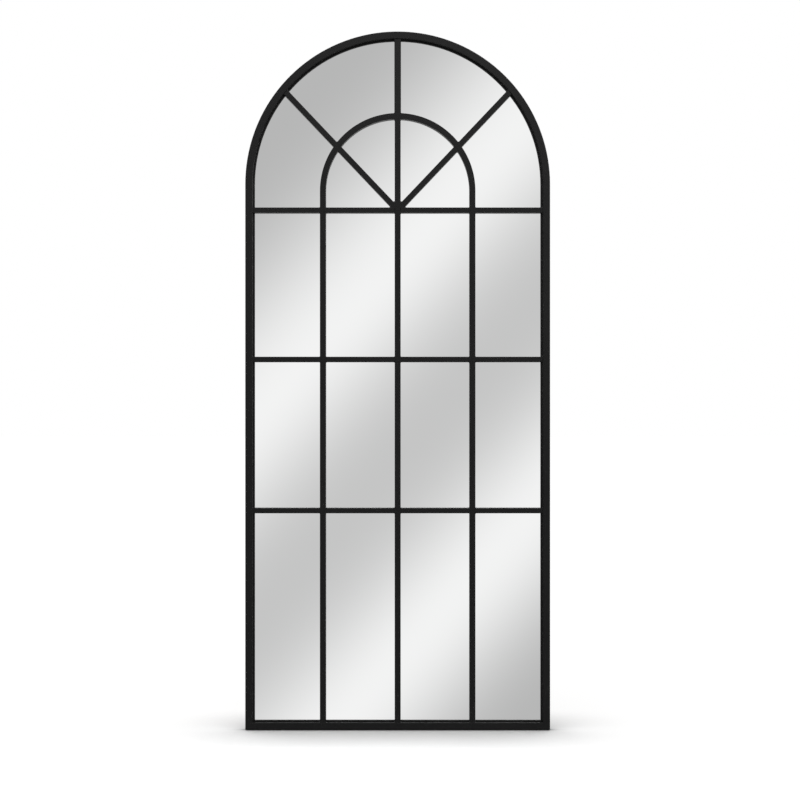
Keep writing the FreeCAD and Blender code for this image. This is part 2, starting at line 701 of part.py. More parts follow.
def hanger_strap(side, label):
    """Steel strap screwed to an upright, its upper end rolled into an eye for the ring."""
    body = new_body(label)
    profile = new_sketch(body, "profile", "YZ_Plane")
    # The eye's centre is the origin. The strap hangs below it, on the frame's side.
    inner = value(EYE_RADIUS)
    outer = value(f"{EYE_RADIUS} + strap_thickness")
    foot = -value("strap_length")
    start = math.radians(value("eye_opening")) - math.pi
    lip = Vector(math.cos(start), math.sin(start), 0)
    for shape in (
            Part.ArcOfCircle(Part.Circle(Vector(), Vector(0, 0, 1), outer), start, math.pi),
            Part.LineSegment(Vector(-outer, 0, 0), Vector(-outer, foot, 0)),
            Part.LineSegment(Vector(-outer, foot, 0), Vector(-inner, foot, 0)),
            Part.LineSegment(Vector(-inner, foot, 0), Vector(-inner, 0, 0)),
            Part.ArcOfCircle(Part.Circle(Vector(), Vector(0, 0, 1), inner), start, math.pi),
            Part.LineSegment(lip * inner, lip * outer)):
        profile.addGeometry(shape)
    for first, end, second, begin in ((0, 2, 1, 1), (1, 2, 2, 1), (2, 2, 3, 1), (3, 2, 4, 2),
                                      (4, 1, 5, 1), (5, 2, 0, 1)):
        profile.addConstraint(Sketcher.Constraint("Coincident", first, end, second, begin))
    fix_point(profile, 0, 3, "0", "0")
    fix_point(profile, 4, 3, "0", "0")
    fix_point(profile, 1, 1, f"-({EYE_RADIUS} + strap_thickness)", "0")
    fix_point(profile, 1, 2, f"-({EYE_RADIUS} + strap_thickness)", "-strap_length")
    fix_point(profile, 2, 2, f"-{EYE_RADIUS}", "-strap_length")
    fix_point(profile, 3, 2, f"-{EYE_RADIUS}", "0")
    dimension(profile, "DistanceY", (-1, 1, 5, 1), f"-{EYE_RADIUS} * sin(eye_opening)")
    dimension(profile, "DistanceY", (-1, 1, 5, 2), f"-({EYE_RADIUS} + strap_thickness) * sin(eye_opening)")
    pad(body, profile, "strap_width", midplane=True)
    holes = new_sketch(body, "holes", "XZ_Plane", offset=f"{EYE_RADIUS} + strap_thickness / 2")
    circle(holes, "0", "-strap_screw_first", "screw_shank")
    circle(holes, "0", "-(strap_screw_first + strap_screw_pitch)", "screw_shank")
    pocket_through(body, holes, "strap_thickness * 2")
    return place(body, x=f"{side} * {TUBE_CENTRE}", y=EYE_DEPTH, z=HANGER_HEIGHT)


def hanging_ring(side, label):
    """D-shaped wire ring that swings in the strap's eye, drawn hanging straight down."""
    body = new_body(label)
    path = new_sketch(body, "path", "XZ_Plane")
    half = value("ring_half_width")
    corner = value("ring_corner")
    drop = value("ring_drop")

    def arc(x, y, radius, first, last):
        round_path = Part.Circle(Vector(x, y, 0), Vector(0, 0, 1), radius)
        return Part.ArcOfCircle(round_path, first * math.pi / 2, last * math.pi / 2)

    for shape in (
            Part.LineSegment(Vector(corner - half, 0, 0), Vector(half - corner, 0, 0)),
            arc(half - corner, -corner, corner, 0, 1),
            Part.LineSegment(Vector(half, -corner, 0), Vector(half, -drop, 0)),
            arc(0, -drop, half, 2, 4),
            Part.LineSegment(Vector(-half, -drop, 0), Vector(-half, -corner, 0)),
            arc(corner - half, -corner, corner, 1, 2)):
        path.addGeometry(shape)
    for first, end, second, begin in ((0, 2, 1, 2), (1, 1, 2, 1), (2, 2, 3, 2), (3, 1, 4, 1),
                                      (4, 2, 5, 2), (5, 1, 0, 1)):
        path.addConstraint(Sketcher.Constraint("Coincident", first, end, second, begin))
    fix_point(path, 0, 1, "ring_corner - ring_half_width", "0")
    fix_point(path, 0, 2, "ring_half_width - ring_corner", "0")
    fix_point(path, 2, 1, "ring_half_width", "-ring_corner")
    fix_point(path, 2, 2, "ring_half_width", "-ring_drop")
    fix_point(path, 4, 1, "-ring_half_width", "-ring_drop")
    fix_point(path, 4, 2, "-ring_half_width", "-ring_corner")
    dimension(path, "Radius", (1,), "ring_corner")
    dimension(path, "Radius", (5,), "ring_corner")
    dimension(path, "DistanceY", (-1, 1, 3, 3), "-ring_drop")
    section = new_sketch(body, "wire", "YZ_Plane", offset="ring_corner - ring_half_width")
    circle(section, "0", "0", "ring_wire")
    ring = body.newObject("PartDesign::AdditivePipe", f"{label}_pipe")
    ring.Profile = section
    ring.Spine = (path, [])
    return place(body, x=f"{side} * {TUBE_CENTRE}", y=EYE_DEPTH, z=HANGER_HEIGHT)


def strap_screw_spots():
    """Where the four hanger screws go."""
    return [{"x": f"{side} * {TUBE_CENTRE}", "y": f"{REAR} + strap_thickness",
             "z": f"{HANGER_HEIGHT} - strap_screw_first - {number} * strap_screw_pitch"}
            for side in (-1, 1) for number in (0, 1)]


# ---------------------------------------------------------------- rubber parts


def foot_pad(side, label):
    centre = f"({HALF_WIDTH} - foot_end - foot_length / 2)"
    return block(label, f"{side} * {centre} - foot_length / 2",
                 f"{FRONT} + foot_inset", "0",
                 "foot_length", f"{FRAME_DEPTH} - 2 * foot_inset", "foot_thickness")


def bumper(label, x, z):
    """Round rubber bumper on the frame's rear face, its rear edge rounded."""
    body = new_body(label)
    base = new_sketch(body, "base", "XZ_Plane", offset=f"-{REAR}")
    circle(base, "0", "0", "bumper_width")
    stud = pad(body, base, "bumper_height", backwards=True)
    rear = value(f"{REAR} + bumper_height")
    round_edges(body, stud, "bumper_edge", lambda edge: isinstance(edge.Curve, Part.Circle)
                and near(edge.Curve.Center.y, rear))
    return place(body, x=x, z=z)


# ---------------------------------------------------------------- assembly

arch_stop_piece = arch_stop()
trimming = grille_tools()
clip = clip_master()
screw = screw_master()

pieces = [
    bottom_rail(),
    upright(-1, "left_upright"),
    upright(1, "right_upright"),
    arch_hoop(),
    bottom_stop(),
    side_stop(-1, "left_stop"),
    side_stop(1, "right_stop"),
    arch_stop_piece,
    side_mullion(-1, "left_mullion"),
    side_mullion(1, "right_mullion"),
    centre_mullion(trimming),
    inner_arch(),
    inner_spoke(-1, "left_inner_spoke", trimming),
    inner_spoke(1, "right_inner_spoke", trimming),
    outer_spoke("left_outer_spoke", "spoke_width", "-(90 - spoke_angle)", trimming, arch_stop_piece),
    outer_spoke("right_outer_spoke", "spoke_width", "(90 - spoke_angle)", trimming, arch_stop_piece),
    outer_spoke("top_spoke", "top_spoke_width", "0", trimming, arch_stop_piece),
    arched_sheet("mirror_glass", "0", GLASS_FOOT, GLASS_FRONT, "glass_thickness"),
    arched_sheet("foam_sheet", "foam_inset", f"({GLASS_FOOT} + foam_inset)", GLASS_REAR,
                 "foam_thickness"),
    arched_sheet("backing_board", "0", GLASS_FOOT, FOAM_REAR, "board_thickness"),
    setting_block(-1, "left_setting_block"),
    setting_block(1, "right_setting_block"),
    group("retaining_clips", clip, clip_spots("0", "0")),
    group("clip_screws", screw, clip_spots(CLIP_SCREW, f"({REAR} + clip_thickness)")),
    hanger_strap(-1, "left_hanger_strap"),
    hanger_strap(1, "right_hanger_strap"),
    hanging_ring(-1, "left_hanging_ring"),
    hanging_ring(1, "right_hanging_ring"),
    group("hanger_screws", screw, strap_screw_spots()),
    foot_pad(-1, "left_foot_pad"),
    foot_pad(1, "right_foot_pad"),
]
for row_name, row_height in (("lower", LOWER_ROW), ("middle", MIDDLE_ROW), ("upper", UPPER_ROW)):
    pieces += crossbars(row_name, row_height)
for side, side_name in ((-1, "left"), (1, "right")):
    pieces.append(bumper(f"lower_{side_name}_bumper", f"{side} * {TUBE_CENTRE}", "lower_bumper_height"))
    pieces.append(bumper(f"upper_{side_name}_bumper",
                         f"{side} * {TUBE_CENTRE} * sin(upper_bumper_angle)",
                         f"{ARCH_HEIGHT} + {TUBE_CENTRE} * cos(upper_bumper_angle)"))

doc.recompute()

for item in doc.Objects:
    if {"Invalid", "Error"} & set(item.State):
        raise RuntimeError(f"{item.Name} failed: {item.State}")
for item in doc.Objects:
    if hasattr(item, "Visibility"):
        item.Visibility = item in pieces
for piece in pieces:
    if piece.Shape.isNull() or not piece.Shape.isValid() or not piece.Shape.Solids:
        raise RuntimeError(f"{piece.Label} has no sound shape")

os.makedirs("parts", exist_ok=True)
for piece in pieces:
    piece.Shape.exportStep(f"parts/{piece.Label}.step")
    box = piece.Shape.BoundBox
    print(f"{piece.Label:26s} solids {len(piece.Shape.Solids):3d}  volume {piece.Shape.Volume:12.1f}"
          f"  x {box.XMin:8.2f} {box.XMax:8.2f}  y {box.YMin:7.2f} {box.YMax:7.2f}"
          f"  z {box.ZMin:8.2f} {box.ZMax:8.2f}")
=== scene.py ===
"""Arched window mirror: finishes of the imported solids, fills and welds of the grille, floor, lamps, world and
camera. Lengths are in metres, and in millimetres for the fills and welds."""
import math

import bmesh
import bpy
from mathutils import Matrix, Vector


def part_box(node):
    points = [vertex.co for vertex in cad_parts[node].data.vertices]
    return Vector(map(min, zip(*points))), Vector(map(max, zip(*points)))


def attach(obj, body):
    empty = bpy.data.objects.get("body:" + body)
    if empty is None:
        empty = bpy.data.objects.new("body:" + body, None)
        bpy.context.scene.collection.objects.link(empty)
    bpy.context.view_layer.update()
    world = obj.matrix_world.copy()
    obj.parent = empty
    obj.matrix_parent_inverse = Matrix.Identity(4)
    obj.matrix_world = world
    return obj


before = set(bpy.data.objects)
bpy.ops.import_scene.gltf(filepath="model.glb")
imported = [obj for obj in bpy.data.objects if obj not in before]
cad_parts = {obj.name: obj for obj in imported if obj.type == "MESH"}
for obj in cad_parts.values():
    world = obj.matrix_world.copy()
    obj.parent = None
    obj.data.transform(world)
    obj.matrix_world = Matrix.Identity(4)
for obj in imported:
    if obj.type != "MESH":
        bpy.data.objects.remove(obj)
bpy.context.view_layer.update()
scene = bpy.context.scene

# ---------------------------------------------------------------- camera
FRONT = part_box("bottom_rail")[0].y  # the frame's front face
VIEW_DISTANCE = 5.1  # from the camera to that face
VIEW_WIDTH = 2.0595  # width of the picture at that face
SENSOR = 36.0  # width of the film, in millimetres
CAMERA_X, CAMERA_Z = 0.006, 0.851
FAR_CLIP = 200.0

lens_data = bpy.data.cameras.new("camera")
lens_data.sensor_fit = "HORIZONTAL"
lens_data.sensor_width = SENSOR
lens_data.lens = SENSOR * VIEW_DISTANCE / VIEW_WIDTH
lens_data.clip_end = FAR_CLIP
camera = bpy.data.objects.new("camera", lens_data)
camera.location = (CAMERA_X, FRONT - VIEW_DISTANCE, CAMERA_Z)
camera.rotation_euler = (math.radians(90), 0, 0)
scene.collection.objects.link(camera)
scene.camera = camera
scene.view_settings.view_transform = "Standard"


# ---------------------------------------------------------------- node helper
class Graph:
    """The nodes of one material or world, added and joined by short calls."""

    def __init__(self, owner):
        owner.use_nodes = True
        self.tree = owner.node_tree
        self.tree.nodes.clear()

    def add(self, kind, inputs=(), **settings):
        """A node with its settings, and a value or another node's socket on each named input."""
        node = self.tree.nodes.new(kind)
        for key, setting in settings.items():
            setattr(node, key, setting)
        for key, given in dict(inputs).items():
            if isinstance(given, bpy.types.NodeSocket):
                self.tree.links.new(given, node.inputs[key])
            else:
                node.inputs[key].default_value = given
        return node

    def math(self, operation, *terms):
        return self.add("ShaderNodeMath", enumerate(terms), operation=operation).outputs[0]

    def vector_math(self, operation, *terms):
        return self.add("ShaderNodeVectorMath", enumerate(terms), operation=operation).outputs[0]

    def noise(self, where, scale, detail=3.0, roughness=0.5, distortion=0.0):
        return self.add("ShaderNodeTexNoise", {
            "Vector": where, "Scale": scale, "Detail": detail,
            "Roughness": roughness, "Distortion": distortion,
        }).outputs["Fac"]

    def cells(self, where, scale):
        return self.add("ShaderNodeTexVoronoi", {"Vector": where, "Scale": scale}).outputs["Distance"]

    def spread(self, value, low, high, start=0.0, end=1.0):
        """value, from start to end, laid out from low to high."""
        return self.add("ShaderNodeMapRange", {0: value, 1: start, 2: end, 3: low, 4: high}).outputs[0]

    def smooth(self, value, low, high, start, end):
        """As spread, with a soft beginning and end."""
        return self.add("ShaderNodeMapRange", {0: value, 1: start, 2: end, 3: low, 4: high},
                        interpolation_type="SMOOTHSTEP").outputs[0]

    def blend(self, share, first, second):
        """A colour between two, by share."""
        return self.add("ShaderNodeMix", {0: share, 6: first, 7: second}, data_type="RGBA").outputs[2]

    def bump(self, height, distance, strength=1.0, below=None):
        inputs = {"Height": height, "Distance": distance, "Strength": strength}
        if below is not None:
            inputs["Normal"] = below
        return self.add("ShaderNodeBump", inputs).outputs[0]

    def surface(self, colour, roughness, **others):
        """A surface shader. Other inputs are named with underscores for their spaces."""
        inputs = {"Base Color": colour, "Roughness": roughness}
        inputs.update((key.replace("_", " "), given) for key, given in others.items())
        return self.add("ShaderNodeBsdfPrincipled", inputs).outputs[0]

    def place(self):
        """Position on the piece, in metres, moving with it."""
        return self.add("ShaderNodeTexCoord").outputs["Object"]

    def facing(self):
        """How far the surface faces the rear: 1 is straight to the rear, and -1 to the front."""
        normal = self.add("ShaderNodeTexCoord").outputs["Normal"]
        return self.add("ShaderNodeSeparateXYZ", {0: normal}).outputs["Y"]

    def output(self, shader, kind="ShaderNodeOutputMaterial"):
        self.add(kind, {"Surface": shader})


def material(name):
    made = bpy.data.materials.new(name)
    return made, Graph(made)


def grey(level):
    return (level, level, level, 1.0)


def dress(finish, *names):
    """The finish on every material slot of these solids."""
    for name in names:
        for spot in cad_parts[name].material_slots:
            spot.material = finish


# ---------------------------------------------------------------- materials
def powder_coat():
    """Satin black powder coat: near black, fine orange peel, faint rubbed and dusty patches."""
    made, g = material("black_powder_coat")
    where = g.place()
    patches = g.noise(where, 6.0, 4.0, 0.6)
    grain = g.noise(where, 900.0, 2.0)
    fine = g.noise(where, 2600.0, 2.0)
    colour = g.blend(patches, (0.0016, 0.0016, 0.0017, 1), (0.0032, 0.0031, 0.0030, 1))
    colour = g.blend(g.spread(fine, 0.0, 0.35, 0.45, 0.75), colour, (0.0080, 0.0080, 0.0084, 1))
    rough = g.math("ADD", g.spread(patches, 0.31, 0.39), g.spread(grain, -0.03, 0.03))
    normal = g.bump(grain, 0.00006, 0.35)
    normal = g.bump(fine, 0.00002, 0.3, normal)
    g.output(g.surface(colour, rough, Normal=normal, Specular_IOR_Level=0.14))
    return made


def mirror_finish():
    """Silvered float glass: a clear mirror on the front, grey backing paint behind, green glass at the edge."""
    made, g = material("mirror_glass")
    where = g.place()
    facing = g.facing()
    haze = g.noise(where, 3.0, 5.0, 0.6)
    dust = g.spread(g.noise(where, 700.0, 1.0), 0.0, 0.012, 0.62, 0.8)
    rough = g.math("ADD", g.spread(haze, 0.0, 0.006, 0.35, 0.75), dust)
    silver = g.surface((0.968, 0.972, 0.970, 1), rough, Metallic=1.0,
                       Normal=g.bump(g.noise(where, 2.2, 1.0), 0.00002, 0.4))
    edge = g.surface(g.blend(g.noise(where, 120.0), (0.055, 0.16, 0.12, 1), (0.09, 0.24, 0.18, 1)),
                     g.spread(g.noise(where, 1500.0), 0.18, 0.42))
    paint = g.surface(g.blend(g.noise(where, 40.0), (0.16, 0.17, 0.19, 1), (0.20, 0.21, 0.23, 1)),
                      g.spread(g.noise(where, 500.0), 0.45, 0.6))
    to_rear, to_front = g.math("GREATER_THAN", facing, 0.5), g.math("LESS_THAN", facing, -0.5)
    behind = g.add("ShaderNodeMixShader", {0: to_rear, 1: edge, 2: paint}).outputs[0]
    g.output(g.add("ShaderNodeMixShader", {0: to_front, 1: behind, 2: silver}).outputs[0])
    return made


def hardboard():
    """Pressed wood fibre: warm brown, flecked with short pale and dark fibres, darker saw-cut edge."""
    made, g = material("hardboard")
    where = g.place()
    stretched = g.vector_math("MULTIPLY", where, (1.0, 1.0, 0.45))
    cloud = g.noise(where, 5.0, 4.0)
    fibre = g.noise(stretched, 420.0, 4.0, 0.7, 0.6)
    fleck = g.noise(stretched, 1300.0, 2.0, 0.6, 1.0)
    colour = g.blend(cloud, (0.20, 0.115, 0.062, 1), (0.27, 0.165, 0.095, 1))
    colour = g.blend(g.spread(fibre, 0.0, 0.75, 0.45, 0.7), colour, (0.36, 0.245, 0.15, 1))
    colour = g.blend(g.spread(fleck, 0.0, 0.8, 0.58, 0.72), colour, (0.085, 0.045, 0.024, 1))
    face = g.math("GREATER_THAN", g.math("ABSOLUTE", g.facing()), 0.5)
    colour = g.blend(face, (0.14, 0.082, 0.045, 1), colour)
    normal = g.bump(fibre, 0.0002, 0.3)
    normal = g.bump(fleck, 0.00008, 0.3, normal)
    g.output(g.surface(colour, g.spread(fibre, 0.5, 0.72), Normal=normal))
    return made


def foam_finish():
    """Closed-cell polyethylene foam: off-white, with a fine skin of small cells whose pits are painted darker
    as shade.
    """
    made, g = material("foam")
    where = g.place()
    cell = g.cells(where, 900.0)
    # painted shade: the cells' pits, low in the bump, are coloured darker than their rims
    colour = g.blend(g.spread(cell, 0.0, 1.0, 0.0, 0.7), (0.62, 0.63, 0.64, 1), (0.80, 0.80, 0.79, 1))
    g.output(g.surface(colour, g.spread(g.noise(where, 300.0), 0.7, 0.9), Normal=g.bump(cell, 0.0003, 0.5)))
    return made


def zinc():
    """Bright zinc plating: pale blue-grey metal with faint rolling lines and dull spots."""
    made, g = material("zinc_plated_steel")
    where = g.place()
    lines = g.noise(g.vector_math("MULTIPLY", where, (1.0, 1.0, 0.06)), 2600.0, 3.0)
    spots = g.noise(where, 240.0, 4.0, 0.65)
    colour = g.blend(spots, (0.50, 0.52, 0.55, 1), (0.72, 0.73, 0.74, 1))
    rough = g.math("ADD", g.spread(spots, 0.20, 0.42), g.spread(lines, -0.05, 0.05))
    g.output(g.surface(colour, rough, Metallic=1.0, Normal=g.bump(lines, 0.00003, 0.35)))
    return made


def rubber_finish():
    """Moulded rubber: charcoal, matt, with a fine grain."""
    made, g = material("rubber")
    where = g.place()
    grain = g.noise(where, 1800.0, 3.0)
    colour = g.blend(g.noise(where, 90.0, 3.0), (0.018, 0.018, 0.019, 1), (0.034, 0.033, 0.033, 1))
    g.output(g.surface(colour, g.spread(grain, 0.66, 0.86), Normal=g.bump(grain, 0.00008, 0.4),
                       Specular_IOR_Level=0.4))
    return made


BARS = [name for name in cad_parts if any(
    part in name for part in ("mullion", "crossbar", "spoke", "inner_arch"))]
COATED = BARS + ["bottom_rail", "left_upright", "right_upright", "arch_hoop",
                 "bottom_stop", "left_stop", "right_stop", "arch_stop"]
coat = powder_coat()
dress(coat, *COATED)
dress(mirror_finish(), "mirror_glass")
dress(foam_finish(), "foam_sheet")
dress(hardboard(), "backing_board")
dress(zinc(), "retaining_clips", "clip_screws", "left_hanger_strap", "right_hanger_strap",
      "left_hanging_ring", "right_hanging_ring", "hanger_screws")
dress(rubber_finish(), "left_foot_pad", "right_foot_pad", "left_setting_block", "right_setting_block",
      "lower_left_bumper", "lower_right_bumper", "upper_left_bumper", "upper_right_bumper")

# ---------------------------------------------------------------- fills and welds of the grille
MM = 0.001
X, Y, Z = range(3)


def ends(node, axis):
    """Lowest and highest place of a solid along an axis, to a thousandth of a millimetre."""
    return [round(corner[axis] / MM, 3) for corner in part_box(node)]


def middle(node, axis):
    return sum(ends(node, axis)) / 2


def half_width(node, axis):
    low, high = ends(node, axis)
    return (high - low) / 2


BAR_FRONT, BAR_REAR = ends("centre_mullion", Y)
BAR_EDGE = 1.0  # rounding of a bar's long edges
BAR_BACK = BAR_REAR - BAR_EDGE  # where the rounding of the rear edges starts
FRAME_FRONT = ends("bottom_rail", Y)[0]
STOP_FRONT = ends("bottom_stop", Y)[0]
RAIL_TOP = ends("bottom_rail", Z)[1]
ROWS = [middle(row + "_crossbar_left", Z) for row in ("lower", "middle", "upper")]
MULLIONS = [middle(side + "_mullion", X) for side in ("left", "centre", "right")]
MULLION_HALF = half_width("centre_mullion", X)
ROW_HALF = half_width("upper_crossbar_left", Z)
TOP_HALF = half_width("top_spoke", X)
SPOKE_HALF = 7.3
SLOPE = math.radians(46.5)  # of the four slanting spokes
HUB = Vector((0.0, ROWS[-1]))  # where the inner spokes start
ARCH = Vector((0.0, ends("inner_arch", Z)[0]))  # centre of the inner arch
ARCH_OUT = ends("inner_arch", X)[1]
ARCH_IN = ARCH_OUT - 2 * MULLION_HALF
HOOP = Vector((0.0, ends("arch_hoop", Z)[0]))  # centre of the hoop
HOOP_IN = ends("right_upright", X)[0]  # the hoop's inner radius, and half the opening's width

SINK = 0.03  # keeps a fill just under the faces that it joins
EDGE_STEPS = 5  # facets of a fill's rounded edge
PAST_SIDE, PAST_ARCH = 1.0, 3.0  # how far a fill runs on past the bar that it crosses
HUB_REACH = 24.0  # length of a spoke's fill from the hub

WELD = 2.4  # radius of a weld's hollow face
WELD_ROOT = 0.4  # depth of a weld's hidden corner in the bars
WELD_FACETS = 5
# A weld shrinks towards the front: depth within the rounding of the bars' edges, and share of its radius.
WELD_LEVELS = ((1.0, 1.0), (0.7, 0.92), (0.45, 0.78), (0.25, 0.60), (0.08, 0.36))


def add_piece(name, bm, finish):
    """A finished mesh, in millimetres, as a piece of the mirror."""
    bmesh.ops.recalc_face_normals(bm, faces=bm.faces)
    bmesh.ops.scale(bm, vec=(MM, MM, MM), verts=bm.verts)
    mesh = bpy.data.meshes.new(name)
    bm.to_mesh(mesh)
    bm.free()
    mesh.materials.append(finish)
    piece = bpy.data.objects.new(name, mesh)
    scene.collection.objects.link(piece)
    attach(piece, "mirror")


def skin(bm, rings):
    """Closed solid through rings of points, each ring with as many points as the first."""
    rows = [[bm.verts.new(point) for point in ring] for ring in rings]
    count = len(rows[0])
    for low, high in zip(rows, rows[1:]):
        for i in range(count):
            after = (i + 1) % count
            bm.faces.new((low[i], low[after], high[after], high[i]))
    bm.faces.new(rows[0])
    bm.faces.new(rows[-1])


def bar_section(half):
    """Corners of a bar's rounded section: distance from its axis, and depth."""
    front, rear = BAR_FRONT + SINK + BAR_EDGE, BAR_REAR - SINK - BAR_EDGE
    wide = half - SINK - BAR_EDGE
    points = []
    for across, depth, start in ((wide, front, -90), (wide, rear, 0), (-wide, rear, 90), (-wide, front, 180)):
        for i in range(EDGE_STEPS + 1):
            angle = math.radians(start + 90 * i / EDGE_STEPS)
            points.append((across + BAR_EDGE * math.cos(angle), depth + BAR_EDGE * math.sin(angle)))
    return points


def fill(bm, start, end, half):
    """Bar's own section run on through the bar that it meets."""
    along = (end - start).normalized()
    side = Vector((along.y, -along.x))
    section = bar_section(half)
    skin(bm, [[(centre.x + side.x * a, depth, centre.y + side.y * a) for a, depth in section]
              for centre in (start, end)])


def rounded_back(depth, front):
    """How far a rounded edge has drawn back from its side face, at a depth."""
    into = front + BAR_EDGE - depth
    return 0.0 if into <= 0 else BAR_EDGE - math.sqrt(max(BAR_EDGE ** 2 - into ** 2, 0.0))


def weld(bm, corner, first, second, second_front=BAR_FRONT, rear=BAR_BACK):
    """Hollow fillet in the corner between two sides that run off along first and second."""
    first, second = first.normalized(), second.normalized()
    angle = first.angle(second)
    inward = (first + second).normalized()
    levels = [(rear, 1.0)] + [(BAR_FRONT + BAR_EDGE * inset, share) for inset, share in WELD_LEVELS]
    rings = []
    for depth, share in levels:
        radius = WELD * share
        tip = corner - first * (rounded_back(depth, second_front) / math.sin(angle))
        tip = tip - second * (rounded_back(depth, BAR_FRONT) / math.sin(angle))
        centre = tip + inward * (radius / math.sin(angle / 2))
        reach = radius / math.tan(angle / 2)
        low, high = tip + first * reach, tip + second * reach
        hollow = [tip - inward * WELD_ROOT, low]
        for i in range(1, WELD_FACETS):
            spoke = (low - centre).lerp(high - centre, i / WELD_FACETS)
            hollow.append(centre + spoke.normalized() * radius)
        hollow.append(high)
        rings.append([(point.x, depth, point.y) for point in hollow])
    skin(bm, rings)


def meets(start, along, centre, radius):
    """Where a line from start runs out of a circle."""
    offset = start - centre
    b = offset.dot(along)
    return start + along * (math.sqrt(b * b - offset.length_squared + radius * radius) - b)


RIGHT, UP = Vector((1, 0)), Vector((0, 1))
SIDES = (-1, 1)
# The rings that bars meet: centre, radius, side that the bar is on, ring's front, and rear end of the weld.
INTO_ARCH = (ARCH, ARCH_IN, -1, BAR_FRONT, BAR_BACK)
OUT_OF_ARCH = (ARCH, ARCH_OUT, 1, BAR_FRONT, BAR_BACK)
INTO_HOOP = (HOOP, HOOP_IN, -1, FRAME_FRONT, STOP_FRONT)


def join_rows(fills, welds):
    """Level bars at the mullions and the uprights, and the mullions on the bottom rail."""
    for z in ROWS:
        for x in MULLIONS:
            reach = RIGHT * (MULLION_HALF + PAST_SIDE)
            fill(fills, Vector((x, z)) - reach, Vector((x, z)) + reach, ROW_HALF)
            at_hub = x == MULLIONS[1] and z == ROWS[-1]
            for a in SIDES:
                for b in SIDES:
                    if not (at_hub and b == 1):
                        corner = Vector((x + a * MULLION_HALF, z + b * ROW_HALF))
                        weld(welds, corner, RIGHT * a, UP * b)
        for a in SIDES:
            for b in SIDES:
                corner = Vector((a * HOOP_IN, z + b * ROW_HALF))
                weld(welds, corner, RIGHT * -a, UP * b, FRAME_FRONT, STOP_FRONT)
    for x in MULLIONS:
        for a in SIDES:
            corner = Vector((x + a * MULLION_HALF, RAIL_TOP))
            weld(welds, corner, UP, RIGHT * a, FRAME_FRONT, STOP_FRONT)


def join_spokes(fills, welds):
    """Slanting spokes at the hub, the inner arch and the hoop."""
    for a in SIDES:
        along = Vector((a * math.cos(SLOPE), math.sin(SLOPE)))
        below = Vector((a * math.sin(SLOPE), -math.cos(SLOPE)))
        fill(fills, HUB, HUB + along * HUB_REACH, SPOKE_HALF)
        fill(fills, meets(HUB, along, ARCH, ARCH_IN) - along * PAST_ARCH,
             meets(HUB, along, ARCH, ARCH_OUT) + along * PAST_ARCH, SPOKE_HALF)
        # at the hub: between the level bar and the spoke, and between the spoke and the mullion
        low = HUB + below * SPOKE_HALF
        weld(welds, low + along * ((ROW_HALF - (low - HUB).y) / along.y), RIGHT * a, along)
        high = HUB - below * SPOKE_HALF
        weld(welds, high + along * ((MULLION_HALF + abs(high.x)) / abs(along.x)), UP, along)
        for away in (-below, below):
            for centre, radius, outward, front, rear in (INTO_ARCH, OUT_OF_ARCH, INTO_HOOP):
                corner = meets(HUB + away * SPOKE_HALF, along, centre, radius)
                spoke = corner - centre
                tangent = Vector((-spoke.y, spoke.x))
                tangent = tangent if tangent.dot(away) > 0 else -tangent
                weld(welds, corner, along * outward, tangent, front, rear)


def join_middle(fills, welds):
    """Centre mullion and top spoke at the inner arch and the hoop."""
    fill(fills, ARCH + UP * (ARCH_IN - PAST_SIDE), ARCH + UP * (ARCH_OUT + PAST_SIDE), MULLION_HALF)
    for half, ring in ((MULLION_HALF, INTO_ARCH), (TOP_HALF, OUT_OF_ARCH), (TOP_HALF, INTO_HOOP)):
        centre, radius, outward, front, rear = ring
        for a in SIDES:
            corner = meets(centre + RIGHT * a * half, UP, centre, radius)
            spoke = corner - centre
            weld(welds, corner, UP * outward, Vector((spoke.y, -spoke.x)) * a, front, rear)


def build_joints():
    fills, welds = bmesh.new(), bmesh.new()
    for join in (join_rows, join_middle, join_spokes):
        join(fills, welds)
    add_piece("grille_joint_fills", fills, coat)
    add_piece("grille_welds", welds, coat)


build_joints()

# ---------------------------------------------------------------- stage
FLOOR_HALF = 40.0
FLOOR_GREY = 0.85  # for all but the camera
SEEN_GREY, SEEN_LIFT = 0.30, 0.75  # for the camera: lit share, and glow far from the object, together white
SHADOW_REACH, SHADOW_FALL = 0.33, 2.5  # painted contact shadow: how far the glow is held back round the object, and how steeply
SHADOW_SAMPLES = 32


def floor_finish():
    """Pale floor that the camera sees as white. Its lit share keeps the object's real shadow, and a glow held
    back near the object by ambient occlusion paints a soft contact shadow round it.
    """
    made, g = material("studio_floor")
    matt = g.add("ShaderNodeBsdfDiffuse", {"Color": grey(FLOOR_GREY)}).outputs[0]
    seen = g.add("ShaderNodeBsdfDiffuse", {"Color": grey(SEEN_GREY)}).outputs[0]
    # painted shadow: ambient occlusion dims the floor's glow near the object, drawing a contact shadow that no
    # lamp casts
    painted_shadow_share = g.add("ShaderNodeAmbientOcclusion", {"Distance": SHADOW_REACH}, samples=SHADOW_SAMPLES).outputs["AO"]
    strength = g.math("MULTIPLY", g.math("POWER", painted_shadow_share, SHADOW_FALL), SEEN_LIFT)
    lift_and_painted_shadow = g.add("ShaderNodeEmission", {"Color": grey(1.0), "Strength": strength}).outputs[0]
    seen = g.add("ShaderNodeAddShader", {0: seen, 1: lift_and_painted_shadow}).outputs[0]
    rays = g.add("ShaderNodeLightPath")
    g.output(g.add("ShaderNodeMixShader", {0: rays.outputs["Is Camera Ray"], 1: matt, 2: seen}).outputs[0])
    return made


